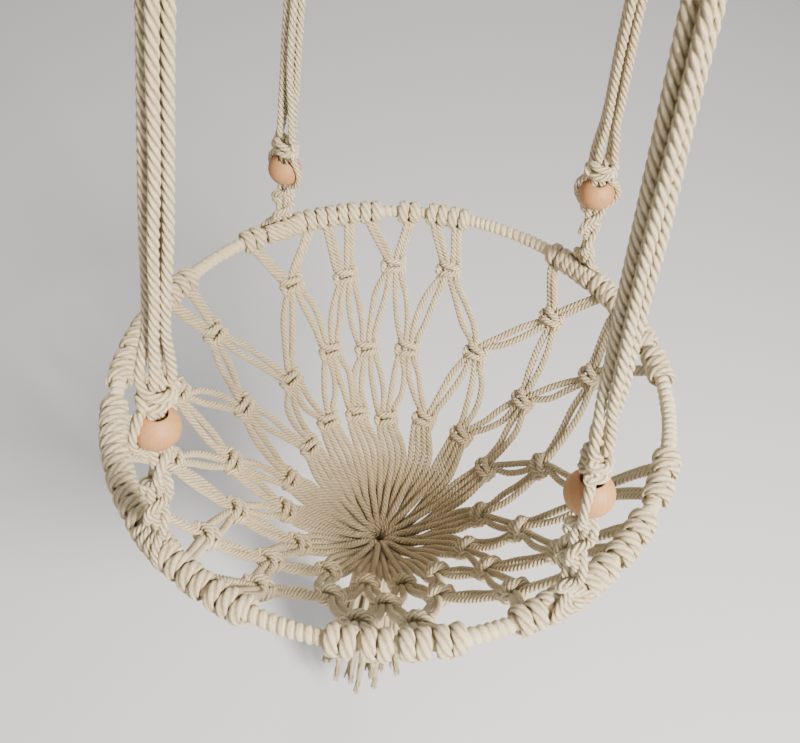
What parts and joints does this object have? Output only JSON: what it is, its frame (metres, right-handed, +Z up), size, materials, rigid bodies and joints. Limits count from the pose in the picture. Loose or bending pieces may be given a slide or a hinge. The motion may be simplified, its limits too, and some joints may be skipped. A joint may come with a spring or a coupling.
{
  "type": "hanging planter",
  "caption": "Hanging planter of knotted cotton cord: a cord-wrapped hoop with a netted bowl and tassel, on corded strands with wooden beads that meet at a wooden ring.",
  "frame": {"origin": "the point on the inside of the hanging ring's top where a hook carries the planter", "axes": "+Z up along the hanging line, +X to the right and -Y towards the viewer; the hanging ring lies in the XZ plane"},
  "size_m": [0.3168, 0.318, 1.2874],
  "materials": {
    "cotton_cord": "natural four-ply cotton, matt",
    "thin_cotton_cord": "thin natural cotton cord wound closely",
    "beech": "plain sanded beech, waxed",
    "steel_wire": "plain wire, hidden in the winding"
  },
  "bodies": {
    "ring": {"hanging_ring": "beech"},
    "hanger": {"top_binding": "cotton_cord", "hoop_wire": "steel_wire", "hoop_wrap_cord": "thin_cotton_cord", "net_gore_01": "cotton_cord", "net_gore_02": "cotton_cord", "net_gore_03": "cotton_cord", "net_gore_04": "cotton_cord", "net_gore_05": "cotton_cord", "net_gore_06": "cotton_cord", "net_gore_07": "cotton_cord", "net_gore_08": "cotton_cord", "net_gore_09": "cotton_cord", "net_gore_10": "cotton_cord", "net_gore_11": "cotton_cord", "net_gore_12": "cotton_cord", "net_gore_13": "cotton_cord", "net_gore_14": "cotton_cord", "net_gore_15": "cotton_cord", "net_gore_16": "cotton_cord", "gathering_knot": "cotton_cord", "sinnet_back_left": "cotton_cord", "sinnet_back_right": "cotton_cord", "sinnet_front_right": "cotton_cord", "sinnet_front_left": "cotton_cord", "hanger_cord_back_left_1": "cotton_cord", "hanger_cord_back_left_2": "cotton_cord", "hanger_cord_back_left_3": "cotton_cord", "hanger_cord_back_left_4": "cotton_cord", "hanger_cord_back_right_1": "cotton_cord", "hanger_cord_back_right_2": "cotton_cord", "hanger_cord_back_right_3": "cotton_cord", "hanger_cord_back_right_4": "cotton_cord", "hanger_cord_front_right_1": "cotton_cord", "hanger_cord_front_right_2": "cotton_cord", "hanger_cord_front_right_3": "cotton_cord", "hanger_cord_front_right_4": "cotton_cord", "hanger_cord_front_left_1": "cotton_cord", "hanger_cord_front_left_2": "cotton_cord", "hanger_cord_front_left_3": "cotton_cord", "hanger_cord_front_left_4": "cotton_cord"},
    "tassel": {"tassel": "cotton_cord"},
    "bead_back_left": {"bead_back_left": "beech"},
    "bead_back_right": {"bead_back_right": "beech"},
    "bead_front_right": {"bead_front_right": "beech"},
    "bead_front_left": {"bead_front_left": "beech"}
  },
  "joints": [
    {"name": "ring_swing", "type": "hinge", "parent": "ring", "child": "hanger", "pos_m": [0, 0, -0.019], "axis": [0, 1, 0], "range_deg": [-35, 35]},
    {"name": "tassel_swing", "type": "hinge", "parent": "hanger", "child": "tassel", "pos_m": [0.00477, -0.0162, -1.12949], "axis": [1, 0, 0], "range_deg": [-25, 25]},
    {"name": "bead_back_left_spin", "type": "hinge", "parent": "hanger", "child": "bead_back_left", "pos_m": [-0.07297, 0.12029, -0.89666], "axis": [0.0892, -0.1471, 0.9851], "continuous": true},
    {"name": "bead_back_right_spin", "type": "hinge", "parent": "hanger", "child": "bead_back_right", "pos_m": [0.10717, 0.08759, -0.87189], "axis": [-0.1351, -0.1104, 0.9847], "continuous": true},
    {"name": "bead_front_right_spin", "type": "hinge", "parent": "hanger", "child": "bead_front_right", "pos_m": [0.07318, -0.11601, -0.86462], "axis": [-0.0931, 0.1477, 0.9846], "continuous": true},
    {"name": "bead_front_left_spin", "type": "hinge", "parent": "hanger", "child": "bead_front_left", "pos_m": [-0.09718, -0.09535, -0.86959], "axis": [0.1229, 0.1206, 0.9851], "continuous": true}
  ]
}
